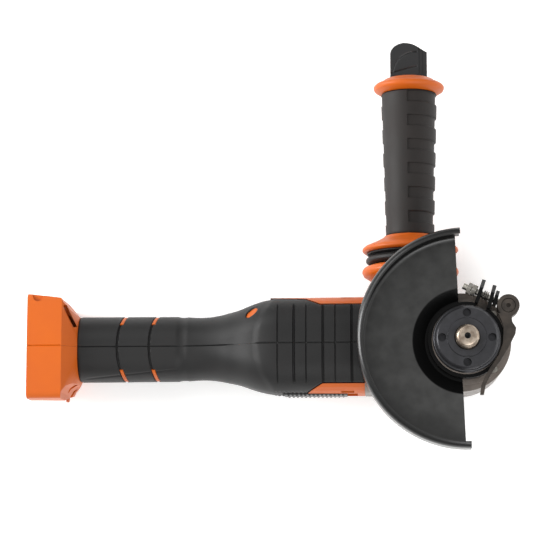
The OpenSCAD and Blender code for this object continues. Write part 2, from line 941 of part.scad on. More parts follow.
module lock_button() {
    color("#B3312A")
        translate([lock_x, 0, base_z + 0.8]) {
            cylinder(r1 = 3.6, r2 = 4.2, h = 0.8);
            translate([0, 0, 0.8]) cylinder(r = 4.2, h = 9.4);
        }
}

module lock_pin() {
    color(bright_steel)
        translate([lock_x, 0, 0]) {
            translate([0, 0, -72.9]) cylinder(r = 1.8, h = 25.1);
            translate([0, 0, -63.6]) cylinder(r = 3, h = 0.8);
        }
}

module button_spring() {
    color(bright_steel) translate([lock_x, 0, -72.8]) coil(2.9, 0.35, 6.7, 4);
}

// ---------- side handle ----------

module on_handle(y) {
    along_y(handle_x, handle_z) translate([0, 0, y]) children();
}

module handle_stud() {
    color(bright_steel)
        on_handle(20) {
            cylinder(r = 4, h = 70);
        }
}

module handle_base_flange() {
    r = handle_flange_r;
    color(orange)
        on_handle(0)
            difference() {
                rotate_extrude()
                    polygon([
                        [0, 36.3], [15, 36.3], [r - 4, 42.6], [r - 1, 44.6], [r, 46.6], [r, 48],
                        [r - 1.2, 49.8], [r - 4, 50.8], [0, 50.8]
                    ]);
                cylinder(r = 4 + fit_gap, h = 60);
            }
}

module handle_damper() {
    r = handle_flange_r;
    color(rubber)
        on_handle(0)
            difference() {
                rotate_extrude()
                    polygon([
                        [0, 50.9], [21, 50.9], [21, 52.2], [r - 4.2, 52.2], [r - 2.4, 53.4], [r - 2.4, 55.4],
                        [r - 4.2, 56.8], [21, 56.8], [21, 58], [r - 3, 58], [r - 3, 59.2], [0, 59.2]
                    ]);
                cylinder(r = 4 + fit_gap, h = 70);
            }
}

module handle_guard_flange() {
    r = handle_flange_r;
    color(orange)
        on_handle(0)
            difference() {
                rotate_extrude()
                    polygon([
                        [0, 59.3], [r - 2, 59.3], [r - 0.6, 59.9], [r, 61], [r - 0.4, 62.2], [r - 2, 63.4],
                        [21, 66.6], [17, 68.8], [16, 70], [0, 70]
                    ]);
                cylinder(r = 4 + fit_gap, h = 80);
            }
}

module spanner_slot(y0, y1) {
    translate([0, 0, y0]) translate([-12.2, -5.6, 0]) cube([24.4, 8.2, y1 - y0]);
}

module handle_core() {
    color(rubber)
        on_handle(0)
            difference() {
                translate([0, 0, 70.1]) cylinder(r = 13.6, h = grip_len);
                translate([0, 0, 60]) cylinder(r = 4 + fit_gap, h = 30.2);
                spanner_slot(100, 175);
            }
}

module handle_grip() {
    color(rubber)
        on_handle(0)
            difference() {
                translate([0, 0, 70.1]) cylinder(r1 = 15.2, r2 = 17.75, h = grip_len);
                translate([0, 0, 60]) cylinder(r = 13.7, h = 120);
                // sunk windows for the fingers: start and width of each, in degrees
                for (row = [0 : 5], w = [[-95, 123], [98, 96]])
                    translate([0, 0, 77 + 15.3 * row])
                        rotate(w[0])
                            rotate_extrude(angle = w[1])
                                translate([14.4 + row * 0.43, 0]) square([6, 6.9]);
            }
}

module handle_end_ring() {
    y0 = 70.2 + grip_len;
    color(orange)
        on_handle(0)
            difference() {
                rotate_extrude()
                    polygon([
                        [0, y0], [16.4, y0], [19, y0 + 0.8], [21.6, y0 + 2.4], [22.4, y0 + 3.8],
                        [22.2, y0 + 5.2], [20.8, y0 + 6.4], [17.6, y0 + 7.8], [15.8, y0 + 9.2], [14.8, y0 + 9.6], [0, y0 + 9.6]
                    ]);
                spanner_slot(150, 180);
            }
}

module disc_spanner() {
    color("#2B2B2C")
        translate([handle_x, 0, handle_z]) {
            translate([0, 0, -2.2])
                linear_extrude(4)
                    polygon([
                        [-11.7, 101], [11.7, 101], [11.7, 189], [3.9, 193.5], [0.8, 194.7], [-3.6, 195],
                        [-6.7, 194.1], [-9.2, 192.6], [-11.1, 190.3], [-11.7, 188]
                    ]);
            for (y = [107, 137])
                translate([0, y, 1.8]) cylinder(r = 2.2, h = 3.2);
        }
}

housing_left();
housing_right();
cover_left();
cover_right();
housing_screws();
terminal_block();
battery_contacts();
control_board();
switch_module();
wiring();
motor_can();
motor_magnets();
motor_end_cap();
carbon_brushes();
brush_springs();
rear_motor_bearing();
front_motor_bearing();
air_baffle();
armature_shaft();
armature_core();
armature_windings();
commutator();
cooling_fan();
pinion();
gear_case();
gear_case_screws();
bearing_cover();
cover_screws();
spindle_bearing();
spindle_bush();
dust_seal();
spindle();
crown_gear();
gear_circlip();
inner_flange();
lock_nut();
guard_shell();
guard_collar();
clamp_screw();
clamp_nuts();
clamp_spring();
clamp_plate();
lever_pin();
guard_lever();
switch_slider();
switch_rod();
lock_button();
lock_pin();
button_spring();
handle_stud();
handle_base_flange();
handle_damper();
handle_guard_flange();
handle_core();
handle_grip();
handle_end_ring();
disc_spanner();
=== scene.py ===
import math

import bmesh
import bpy
import numpy as np
from bpy.props import FloatProperty, FloatVectorProperty, PointerProperty
from mathutils import Matrix, Vector


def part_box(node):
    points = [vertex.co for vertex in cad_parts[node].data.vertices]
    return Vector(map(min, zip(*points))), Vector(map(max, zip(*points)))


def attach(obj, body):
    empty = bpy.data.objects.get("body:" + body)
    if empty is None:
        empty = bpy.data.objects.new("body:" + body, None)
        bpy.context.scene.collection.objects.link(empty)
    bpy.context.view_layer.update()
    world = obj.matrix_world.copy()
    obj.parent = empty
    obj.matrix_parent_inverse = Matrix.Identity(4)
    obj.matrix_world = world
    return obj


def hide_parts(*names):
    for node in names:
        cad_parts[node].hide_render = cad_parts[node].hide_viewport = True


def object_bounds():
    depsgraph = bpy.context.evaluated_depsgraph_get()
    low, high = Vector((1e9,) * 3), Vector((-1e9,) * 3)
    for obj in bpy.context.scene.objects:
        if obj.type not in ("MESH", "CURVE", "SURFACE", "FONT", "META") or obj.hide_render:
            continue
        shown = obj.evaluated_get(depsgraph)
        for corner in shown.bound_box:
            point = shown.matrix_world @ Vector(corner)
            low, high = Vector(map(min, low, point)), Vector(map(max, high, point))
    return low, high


bl_info = {
    "name": "Cordless Angle Grinder",
    "version": (1, 0, 0),
    "blender": (4, 5, 0),
    "location": "View3D > Sidebar > Grinder",
    "description": "Builds the looks of a cordless angle grinder around its packed CAD model",
    "category": "Object",
}

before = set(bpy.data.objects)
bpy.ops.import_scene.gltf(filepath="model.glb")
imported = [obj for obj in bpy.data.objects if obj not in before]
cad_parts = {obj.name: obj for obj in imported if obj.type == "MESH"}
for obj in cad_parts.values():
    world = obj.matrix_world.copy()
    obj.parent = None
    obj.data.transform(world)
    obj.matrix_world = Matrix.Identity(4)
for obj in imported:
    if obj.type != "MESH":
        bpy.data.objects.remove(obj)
CAD_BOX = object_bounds()
MM = 0.001

# Places taken from the CAD model, in millimetres
HANDLE_LOW, HANDLE_HIGH = (np.array(corner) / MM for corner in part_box("handle_base_flange"))
HANDLE_X = (HANDLE_LOW[0] + HANDLE_HIGH[0]) / 2
HANDLE_Z = (HANDLE_LOW[2] + HANDLE_HIGH[2]) / 2
GRIP_START, GRIP_END = (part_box("handle_grip")[i][1] / MM for i in (0, 1))
COVER_REAR, COVER_FRONT = (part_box("cover_right")[i][0] / MM for i in (0, 1))
SLIDER_LOW, SLIDER_HIGH = (np.array(corner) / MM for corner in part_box("switch_slider"))
FLOOR_Z = CAD_BOX[0][2] / MM

# The rubber-covered body at places along X: place, half width, lowest z, highest z, corner radius
BODY = np.array([
    (-241.4, 20.5, -78.5, -40, 17), (-176, 20.3, -78.1, -39.8, 17), (-165, 19.3, -77.9, -39, 17),
    (-155, 20, -77.75, -37, 18), (-145.6, 22, -77.65, -33.5, 18), (-137, 25, -77.55, -29, 19),
    (-129, 28, -77.45, -25.5, 20), (-120, 30, -77.35, -23.5, 20), (-62.1, 30.2, -77, -23, 20),
])


# ---------- colours and finishes ----------

def linear(hex_colour):
    """sRGB hex to linear red, green, blue and alpha."""
    parts = [int(hex_colour[i:i + 2], 16) / 255 for i in (1, 3, 5)]
    return tuple(c / 12.92 if c <= 0.04045 else ((c + 0.055) / 1.055) ** 2.4 for c in parts) + (1.0,)


def add_node(tree, kind, links=(), **settings):
    """Adds one node. Links are values or other nodes' outputs, each with the input it goes to."""
    node = tree.nodes.new(kind)
    for name, value in settings.items():
        setattr(node, name, value)
    for name, value in dict(links).items():
        if isinstance(value, bpy.types.NodeSocket):
            tree.links.new(value, node.inputs[name])
        else:
            node.inputs[name].default_value = value
    return node


def new_finish(name, colour, rough, metallic=0.0, ior=1.5, coat=0.0, sheen=0.0, reflect=0.5):
    """A material whose even values sit on the shader. Returns its tree, shader and place in millimetres."""
    material = bpy.data.materials.new(name)
    material.use_nodes = True
    tree = material.node_tree
    tree.nodes.clear()
    shader = add_node(tree, "ShaderNodeBsdfPrincipled", {
        "Base Color": linear(colour), "Roughness": rough, "Metallic": metallic, "IOR": ior,
        "Specular IOR Level": reflect, "Coat Weight": coat, "Coat Roughness": 0.2,
        "Sheen Weight": sheen, "Sheen Roughness": 0.5,
    })
    add_node(tree, "ShaderNodeOutputMaterial", {"Surface": shader.outputs[0]})
    place = add_node(tree, "ShaderNodeTexCoord").outputs["Object"]
    place_mm = add_node(tree, "ShaderNodeVectorMath", {0: place, "Scale": 1 / MM}, operation="SCALE")
    return material, tree, shader, place_mm.outputs[0]


def dress(tree, shader, tint, gloss, bump):
    """Links a colour, a roughness and a bump node to the shader."""
    tree.links.new(tint.outputs[2], shader.inputs["Base Color"])
    tree.links.new(gloss.outputs[0], shader.inputs["Roughness"])
    tree.links.new(bump.outputs[0], shader.inputs["Normal"])


def moulded(name, colour, other, patch_mm, rough, spread, grain_mm, grain_depth_mm,
            stretch=(1, 1, 1), **shading):
    """A finish with soft patches of a second colour, uneven gloss and a fine grain."""
    material, tree, shader, place = new_finish(name, colour, rough, **shading)
    pulled = add_node(tree, "ShaderNodeVectorMath", {0: place, 1: stretch}, operation="MULTIPLY").outputs[0]
    patches = add_node(tree, "ShaderNodeTexNoise", {"Vector": pulled, "Scale": 1 / patch_mm, "Detail": 4.0})
    spots = add_node(tree, "ShaderNodeMapRange", {
        "Value": patches.outputs[0], "From Min": 0.35, "From Max": 0.65})
    tint = add_node(tree, "ShaderNodeMix", {
        0: spots.outputs[0], 6: linear(colour), 7: linear(other)}, data_type="RGBA")
    gloss = add_node(tree, "ShaderNodeMapRange", {
        "Value": patches.outputs[0], "From Min": 0.3, "From Max": 0.7,
        "To Min": rough - spread, "To Max": rough + spread})
    grain = add_node(tree, "ShaderNodeTexNoise", {"Vector": pulled, "Scale": 1 / grain_mm, "Detail": 2.0})
    bump = add_node(tree, "ShaderNodeBump", {
        "Height": grain.outputs[0], "Distance": grain_depth_mm * MM, "Strength": 1.0})
    dress(tree, shader, tint, gloss, bump)
    return material


# Distances from the spindle's axis, in millimetres, between which the guard's finish changes
DISH_EDGE = (32.2, 33.0)
LIP_EDGE = (61.5, 63.5)


def worn_guard():
    """Glossy black paint, rubbed to a mottled satin grey between the dish and the lip; the dish's near-black,
    with its reflections turned down, is painted shade and a painted dark reflection.
    """
    material = moulded(
        "guard_paint", "#2E2E2D", "#3C3C3B", patch_mm=9, rough=0.36, spread=0.08, grain_mm=0.8,
        grain_depth_mm=0.012, ior=1.5)
    tree = material.node_tree
    shader = next(node for node in tree.nodes if node.type == "BSDF_PRINCIPLED")
    place = add_node(tree, "ShaderNodeTexCoord").outputs["Object"]
    flat = add_node(tree, "ShaderNodeVectorMath", {0: place, 1: (1, 1, 0)}, operation="MULTIPLY").outputs[0]
    radius = add_node(tree, "ShaderNodeVectorMath", {0: flat}, operation="LENGTH").outputs["Value"]
    past_dish = add_node(tree, "ShaderNodeMapRange", {
        "Value": radius, "From Min": DISH_EDGE[0] * MM, "From Max": DISH_EDGE[1] * MM}).outputs[0]
    before_lip = add_node(tree, "ShaderNodeMapRange", {
        "Value": radius, "From Min": LIP_EDGE[0] * MM, "From Max": LIP_EDGE[1] * MM,
        "To Min": 1.0, "To Max": 0.0}).outputs[0]
    worn = add_node(tree, "ShaderNodeMath", {0: past_dish, 1: before_lip}, operation="MULTIPLY").outputs[0]
    # Near-black on the lip is its glossy paint; in the dish it is painted shade
    colour = add_node(tree, "ShaderNodeMix", {
        0: worn, 6: linear("#0C0C0C"), 7: shader.inputs["Base Color"].links[0].from_socket}, data_type="RGBA")
    gloss = add_node(tree, "ShaderNodeMix", {
        0: worn, 2: 0.28, 3: shader.inputs["Roughness"].links[0].from_socket})
    # Painted dark reflection: the dish's reflections are turned down so that it reads as shaded
    dish_reflection_painted_dark = add_node(tree, "ShaderNodeMapRange", {"Value": past_dish, "To Min": 0.12, "To Max": 0.5})
    tree.links.new(colour.outputs[2], shader.inputs["Base Color"])
    tree.links.new(gloss.outputs[0], shader.inputs["Roughness"])
    tree.links.new(dish_reflection_painted_dark.outputs[0], shader.inputs["Specular IOR Level"])
    return material


RINGS_PER_UNIT = 0.314  # scale at which the wave node's rings are one unit apart
RING_DEPTH_MM = 0.02


def turned(name, colour, other, middle_mm, axis, ring_mm, rough):
    """Bare metal with the fine rings that a lathe leaves round an axis, and slight staining."""
    material, tree, shader, place = new_finish(name, colour, rough, metallic=1.0)
    from_axis = add_node(
        tree, "ShaderNodeVectorMath", {0: place, 1: middle_mm}, operation="SUBTRACT").outputs[0]
    rings = add_node(tree, "ShaderNodeTexWave", {
        "Vector": from_axis, "Scale": RINGS_PER_UNIT / ring_mm, "Distortion": 0.4, "Detail": 2.0,
        "Detail Scale": 0.4},
        wave_type="RINGS", rings_direction=axis)
    stain = add_node(tree, "ShaderNodeTexNoise", {"Vector": from_axis, "Scale": 0.35, "Detail": 5.0})
    spots = add_node(tree, "ShaderNodeMapRange", {
        "Value": stain.outputs[0], "From Min": 0.4, "From Max": 0.62})
    tint = add_node(tree, "ShaderNodeMix", {
        0: spots.outputs[0], 6: linear(colour), 7: linear(other)}, data_type="RGBA")
    gloss = add_node(tree, "ShaderNodeMapRange", {
        "Value": stain.outputs[0], "To Min": rough - 0.08, "To Max": rough + 0.14})
    bump = add_node(tree, "ShaderNodeBump", {
        "Height": rings.outputs[1], "Distance": RING_DEPTH_MM * MM, "Strength": 0.6})
    dress(tree, shader, tint, gloss, bump)
    return material


def make_finishes(colours):
    """All finishes of the tool, by name."""
    orange, rubber, grip = colours.orange_hex(), colours.rubber_hex(), colours.grip_hex()
    return {
        # Glass-filled nylon from a spark-eroded mould: satin, with a barely visible grain
        "orange_nylon": moulded(
            "orange_nylon", orange, "#BE5504", patch_mm=30, rough=0.45, spread=0.05, grain_mm=0.5,
            grain_depth_mm=0.012, ior=1.53, reflect=0.36),
        # Soft rubber moulded over the nylon: dull, with a slightly dusty sheen; the fine even grain
        # holds reflections back
        "black_rubber": moulded(
            "black_rubber", rubber, "#181717", patch_mm=22, rough=0.56, spread=0.06, grain_mm=0.45,
            grain_depth_mm=0.02, ior=1.5, sheen=0.02, reflect=0.36),
        # Harder, browner rubber of the side grip
        "grip_rubber": moulded(
            "grip_rubber", grip, "#211C1A", patch_mm=18, rough=0.6, spread=0.05, grain_mm=0.5,
            grain_depth_mm=0.02, ior=1.5, sheen=0.03, reflect=0.33),
        # Black nylon from a polished mould, as on switches and terminal blocks
        "black_nylon": moulded(
            "black_nylon", "#1A1A1B", "#161617", patch_mm=12, rough=0.4, spread=0.06, grain_mm=0.4,
            grain_depth_mm=0.01, ior=1.53),
        # Die-cast aluminium under a brown-grey lacquer: faint flow marks and a pebbly skin
        "cast_case": moulded(
            "cast_case", "#696058", "#766D66", patch_mm=5, rough=0.46, spread=0.08, grain_mm=1.1,
            grain_depth_mm=0.05, ior=1.5, coat=0.15),
        # Pressed sheet steel with sprayed black paint: satin, scuffed a little lighter where things rub, with
        # painted shade and a painted dark reflection in the dish
        "guard_paint": worn_guard(),
        # Turned steel with black oxide: dark, oily metal gloss
        "blackened_steel": moulded(
            "blackened_steel", "#454548", "#3B3B3D", patch_mm=6, rough=0.36, spread=0.07, grain_mm=0.6,
            grain_depth_mm=0.01, metallic=0.75),
        # Stamped lever steel with a brown-black phosphate coat
        "lever_steel": moulded(
            "lever_steel", "#3C3733", "#4A433D", patch_mm=5, rough=0.45, spread=0.08, grain_mm=0.7,
            grain_depth_mm=0.02, metallic=0.6),
        # Ground spindle steel, straw-stained by heat and oil, with lathe rings
        "spindle_steel": turned("spindle_steel", "#B9AB9B", "#8F8072", (0, 0, 0), "Z", 0.5, 0.34),
        # Hardened and oiled gear steel
        "gear_steel": moulded(
            "gear_steel", "#8C8780", "#77716A", patch_mm=4, rough=0.34, spread=0.08, grain_mm=0.5,
            grain_depth_mm=0.01, metallic=1.0),
        # Bright zinc plating on screws and springs
        "zinc_screws": moulded(
            "zinc_screws", "#C6C3BC", "#AFAAA0", patch_mm=2, rough=0.28, spread=0.08, grain_mm=0.4,
            grain_depth_mm=0.01, metallic=1.0),
        # Ground bearing steel
        "bearing_steel": moulded(
            "bearing_steel", "#C9C7C2", "#B8B5AE", patch_mm=3, rough=0.2, spread=0.05, grain_mm=0.4,
            grain_depth_mm=0.005, metallic=1.0),
        # Sintered bronze of the rear bush
        "bronze": moulded(
            "bronze", "#A9854C", "#8F6E3C", patch_mm=2, rough=0.4, spread=0.08, grain_mm=0.4,
            grain_depth_mm=0.01, metallic=1.0),
        # Enamelled copper wire and commutator bars
        "copper": moulded(
            "copper", "#B4683A", "#9C5429", patch_mm=2, rough=0.32, spread=0.08, grain_mm=0.6,
            grain_depth_mm=0.03, metallic=1.0),
        # Stacked electrical steel sheets, seen as fine lines across the motor's axis
        "core_steel": moulded(
            "core_steel", "#7C7C7C", "#666665", patch_mm=2, rough=0.42, spread=0.06, grain_mm=0.5,
            grain_depth_mm=0.03, stretch=(4, 1, 1), metallic=1.0),
        # Glass-fibre circuit board under green lacquer
        "board_green": moulded(
            "board_green", "#1E5A35", "#17492B", patch_mm=3, rough=0.3, spread=0.06, grain_mm=0.5,
            grain_depth_mm=0.02),
        # Soft PVC insulation
        "wire_red": moulded(
            "wire_red", "#A52A22", "#8E221B", patch_mm=6, rough=0.42, spread=0.05, grain_mm=0.6,
            grain_depth_mm=0.005),
        # Red nylon of the spindle lock button
        "lock_red": moulded(
            "lock_red", "#B0322A", "#A02B24", patch_mm=8, rough=0.4, spread=0.05, grain_mm=0.5,
            grain_depth_mm=0.01, ior=1.53),
    }


# ---------- mesh helpers ----------

def new_piece(name, points_mm, faces, finish, sharp_deg=35.0):
    """A smooth-shaded mesh object from points in millimetres."""
    mesh = bpy.data.meshes.new(name)
    mesh.from_pydata((np.asarray(points_mm, float) * MM).tolist(), [], [tuple(face) for face in faces])
    mesh.validate()
    mesh.update()
    mesh.shade_smooth()
    mesh.set_sharp_from_angle(angle=math.radians(sharp_deg))
    mesh.materials.append(FINISHES[finish])
    piece = bpy.data.objects.new(name, mesh)
    bpy.context.scene.collection.objects.link(piece)
    return piece


def fit_to(piece, body, slot, *nodes):
    """Ties a piece to its body and hides the CAD nodes it stands for; slot is not used."""
    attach(piece, body)
    if nodes:
        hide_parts(*nodes)


def fillet(corners, radius, steps=4):
    """Rounds every corner of a closed outline."""
    corners = [np.array(c, float) for c in corners]
    rounded = []
    for i, corner in enumerate(corners):
        before, after = corners[i - 1] - corner, corners[(i + 1) % len(corners)] - corner
        room = min(np.linalg.norm(before), np.linalg.norm(after)) * 0.45
        before, after = before / np.linalg.norm(before), after / np.linalg.norm(after)
        turn = math.acos(float(np.clip(before @ after, -1, 1)))
        if turn > math.radians(176) or corner[0] < 0.01:
            rounded.append(corner)
            continue
        reach = min(radius / math.tan(turn / 2), room)
        start, end = corner + before * reach, corner + after * reach
        for k in range(steps + 1):
            t = k / steps
            rounded.append((1 - t) ** 2 * start + 2 * t * (1 - t) * corner + t ** 2 * end)
    return np.array(rounded)


def lathe(profile, count=160):
    """Points and faces of a closed profile (radius, height) turned round the height axis."""
    profile = np.asarray(profile, float)
    turns = np.linspace(0, 2 * math.pi, count, endpoint=False)
    points = [(r * math.cos(a), r * math.sin(a), h) for a in turns for r, h in profile]
    rows = len(profile)
    faces = []
    for i in range(count):
        here, there = i * rows, ((i + 1) % count) * rows
        faces += [(here + k, there + k, there + (k + 1) % rows, here + (k + 1) % rows) for k in range(rows)]
    return np.array(points), faces


def soften(obj, width_mm, sharp_deg=30.0):
    """Rounds the sharp edges of a CAD node or piece with modifiers."""
    weld = obj.modifiers.new("weld", "WELD")
    weld.merge_threshold = 0.002 * MM
    bevel = obj.modifiers.new("edges", "BEVEL")
    bevel.width = width_mm * MM
    bevel.segments = 2
    bevel.limit_method = "ANGLE"
    bevel.angle_limit = math.radians(sharp_deg)
    bevel.harden_normals = True


# ---------- the rubber-covered body ----------

def body_at(x, column):
    """One value of the body's section at places along X, eased between the stations."""
    return np.mean([np.interp(x + d, BODY[:, 0], BODY[:, column]) for d in np.linspace(-5, 5, 11)], axis=0)


def section_points(x, along):
    """Half section: places (y, z) and outward directions, from the lowest to the highest middle."""
    half_w, low, high, r = (body_at(x, c)[:, None] for c in (1, 2, 3, 4))
    flat, bend, side = half_w - r, r * math.pi / 2, high - low - 2 * r
    total = 2 * flat + 2 * bend + side
    s = along[None, :] * total
    a1 = np.clip((s - flat) / r, 0, math.pi / 2)
    a2 = np.clip((s - flat - bend - side) / r, 0, math.pi / 2)
    turn = a1 + a2
    ny, nz = np.sin(turn), -np.cos(turn)
    past_bends = np.clip(s - flat - 2 * bend - side, 0, None)
    y = np.clip(s, 0, flat) + r * np.sin(a1) - r * (1 - np.cos(a2)) - past_bends
    z = low + r * (1 - np.cos(a1)) + np.clip(s - flat - bend, 0, side) + r * np.sin(a2)
    return y, z, ny, nz


def groove(distance, half_width, depth):
    """Depth of a round-bottomed groove at a distance from its middle line."""
    return depth * np.clip(1 - (distance / half_width) ** 2, 0, 1) ** 0.5


def ease(t):
    t = np.clip(t, 0, 1)
    return t * t * (3 - 2 * t)


def to_polygon(px, py, corners):
    """Signed distance from points to an outline: negative inside."""
    corners = np.array(corners, float)
    best = np.full(px.shape, 1e9)
    inside = np.zeros(px.shape, bool)
    for (ax, ay), (bx, by) in zip(corners, np.roll(corners, -1, axis=0)):
        t = np.clip(((px - ax) * (bx - ax) + (py - ay) * (by - ay)) / ((bx - ax) ** 2 + (by - ay) ** 2), 0, 1)
        best = np.minimum(best, np.hypot(px - ax - t * (bx - ax), py - ay - t * (by - ay)))
        if ay != by:
            inside ^= ((ay > py) != (by > py)) & (px < (bx - ax) * (py - ay) / (by - ay) + ax)
    return np.where(inside, -best, best)


THIN, WIDE = (0.45, 0.7), (0.85, 1.35)  # half width and depth of the body's grooves
BODY_GROOVES = [
    (-115.3, *THIN), (-105.2, *WIDE), (-97.7, *THIN), (-87.3, *WIDE), (-79.8, *THIN), (-69.6, *WIDE)]
HANDLE_GROOVES = [-216.2, -196.2]
GROOVE_BOW = 60  # radius of the bowed grooves on the handle
SCREW_HOLES = [(-222, -71), (-180, -71), (-144, -71)]
SCREW_HOLE_RADIUS = 3.4
COVER_THICKNESS = 1.62
SLIDER_RIB_PITCH = 2.6
SHARP_COVER_DEG = 50


def cover_openings(side, x, y, z):
    """Distance to the nearest opening in the rubber: negative inside one."""
    if side > 0:
        window = [(-122, 31.5), (-120.6, 29.5), (-98, 28.4), (-89, 24.6), (-50, 24.6), (-50, 45), (-122, 45)]
        return to_polygon(x, y, window)
    window = [(-99.3, 45), (-99.3, 30.9), (-87.7, 24.6), (-50, 24.6), (-50, 45)]
    gap = to_polygon(x, y, window)
    for hole_x, hole_z in SCREW_HOLES:
        gap = np.minimum(gap, np.where(y > 10, np.hypot(x - hole_x, z - hole_z) - SCREW_HOLE_RADIUS, 99))
    pocket = [(SLIDER_LOW[0] - 0.6, SLIDER_LOW[2] - 0.5), (SLIDER_HIGH[0] + 6.7, SLIDER_LOW[2] - 0.5),
              (SLIDER_HIGH[0] + 6.7, SLIDER_HIGH[2] + 0.5), (SLIDER_LOW[0] - 0.6, SLIDER_HIGH[2] + 0.5)]
    return np.minimum(gap, np.where(y > 20, to_polygon(x, z, pocket), 99))


def bowed(place, y):
    """Place along X of a bowed groove at a distance y from the middle plane."""
    return place + GROOVE_BOW - np.sqrt(GROOVE_BOW ** 2 - np.minimum(y, 50) ** 2)


def cover_depth(side, x, y, z):
    """How deep the rubber's face lies under the body's outline."""
    depth = np.zeros(x.shape)
    across = ease((24.6 - y) / 1.2)
    for place, half_width, deep in BODY_GROOVES:
        depth = np.maximum(depth, groove(x - place, half_width, deep) * across)
    for place in HANDLE_GROOVES:
        bow = bowed(place, y)
        on_face = ease((22 - y) / 1.0)
        depth = np.maximum(depth, groove(x - bow, 0.75, 1.2) * on_face)
        # the ends are cut right down to the orange ribs
        end = ease((y - 13.8) / 1.5) * np.where(z > -62.5, 1, 0)
        widening = np.clip((1.35 - np.abs(x - bow - 0.5)) / 0.35, 0, 1)
        depth = np.maximum(depth, 2.4 * widening * end)
    # the body's padded part stands a little above the neck
    shoulder = -131.5 + 0.012 * y ** 2
    depth = depth + 0.7 * (1 - ease((x - shoulder) / 5)) * ease((x + 150) / 12)
    depth = depth + groove(x + 176, 2.6, 0.45)
    if side > 0:
        # a slanted petal-shaped opening on the shoulder
        dx, dy, slant = x + 131.6, y - 20.6, 0.75
        lengthwise = dx * math.cos(slant) + dy * math.sin(slant)
        crosswise = dy * math.cos(slant) - dx * math.sin(slant)
        petal = np.hypot(lengthwise / 5.2, crosswise / 2.3) - 1
        depth = np.maximum(depth, np.where(z > -50, 2.4 * np.clip(-petal / 0.22, 0, 1), 0))
    else:
        # a fine crease along the handle, and ribs above the slider
        crease = y - (19.2 - 5.0 * (x + 236) / 58)
        on_crease = ease((x + 238) / 3) * ease((-177 - x) / 3) * np.where(z > -60, 1, 0)
        depth = np.maximum(depth, groove(crease, 0.5, 0.35) * on_crease)
        ribs = 0.5 * (0.5 + 0.5 * np.cos(2 * math.pi * x / SLIDER_RIB_PITCH))
        knurl = ease((x + 121) / 3) * ease((-64 - x) / 3) * ease((y - 28.6) / 0.8)
        depth = np.maximum(depth, ribs * knurl)
    return depth


def cover_rows():
    """Places along X, closer together round the grooves."""
    def in_groove(x):
        return any(abs(x - place) <= half_width + 0.5 for place, half_width, _ in BODY_GROOVES)

    # middle, reach and step of each stretch with its own spacing
    fine = [(place, half_width + 0.5, 0.16) for place, half_width, _ in BODY_GROOVES]
    fine += [(place + 2, 4.2, 0.3) for place in HANDLE_GROOVES]
    fine += [(-131.6, 6, 0.35), (-92.5, 28, 0.43)]
    rows = list(np.arange(COVER_REAR + 0.15, COVER_FRONT - 0.1, 1.1))
    for middle, reach, step in fine:
        rows = [x for x in rows if abs(x - middle) > reach or step > 0.4 and in_groove(x)]
        rows += list(np.arange(middle - reach, middle + reach + step / 2, step))
    rows = np.unique(np.round([x for x in rows if COVER_REAR + 0.1 < x < COVER_FRONT - 0.1], 2))
    return np.concatenate(([COVER_REAR, COVER_REAR + 0.05], rows, [COVER_FRONT - 0.05, COVER_FRONT]))


def closed_skin(quads, outer, inner):
    """Points and faces of a skin: an outer sheet, its inner copy and a rim that joins them."""
    edges = np.concatenate([quads[:, [k, (k + 1) % 4]] for k in range(4)])
    known = {tuple(edge) for edge in edges.tolist()}
    rim = [edge for edge in known if (edge[1], edge[0]) not in known]
    points = np.concatenate((outer.reshape(-1, 3), inner.reshape(-1, 3)))
    shift = len(points) // 2
    faces = quads.tolist() + (quads[:, ::-1] + shift).tolist()
    faces += [(b, a, a + shift, b + shift) for a, b in sorted(rim)]
    used = np.unique(np.array(faces))
    renumber = np.full(len(points), -1)
    renumber[used] = np.arange(len(used))
    return points[used], renumber[np.array(faces)].tolist()


def build_cover(side, name, node):
    """One half of the rubber cover, as a closed skin."""
    x = cover_rows()
    along = np.concatenate((
        [0, 0.0012, 0.0025, 0.004, 0.006], np.linspace(0.01, 0.99, 150), [0.994, 0.996, 0.9975, 0.9988, 1]))
    y, z, ny, nz = section_points(x, along)
    xx = np.repeat(x[:, None], len(along), axis=1)
    gap = cover_openings(side, xx, y, z)
    depth = cover_depth(side, xx, y, z)
    lip = 1.25 * (1 - np.sqrt(np.clip(1 - (1 - np.clip(gap / 0.9, 0, 1)) ** 2, 0, 1)))
    seam = 0.5 * (1 - ease(np.minimum(along[None, :] * 100, (1 - along[None, :]) * 100) / 0.75))
    ends = 0.5 * (1 - ease(np.minimum(xx - COVER_REAR, COVER_FRONT - xx) / 0.5))
    out = np.maximum(np.maximum(depth, lip), np.maximum(seam + 0 * gap, ends))
    outer = np.stack((xx, np.maximum(y - ny * out, 0.06) * side, z - nz * out), -1)
    back = np.maximum(out + 0.25, COVER_THICKNESS)
    inner = np.stack((xx, np.maximum(y - ny * back, 0.06) * side, z - nz * back), -1)
    rows, columns = xx.shape
    index = np.arange(rows * columns).reshape(rows, columns)
    quads = np.stack((index[:-1, :-1], index[1:, :-1], index[1:, 1:], index[:-1, 1:]), -1)
    buried = np.stack((gap[:-1, :-1], gap[1:, :-1], gap[1:, 1:], gap[:-1, 1:]), -1).max(-1) < -0.25
    quads = quads[~buried]
    if side > 0:
        quads = quads[:, ::-1]
    piece = new_piece(name, *closed_skin(quads, outer, inner), "black_rubber", SHARP_COVER_DEG)
    fit_to(piece, "root", "black_rubber", node)


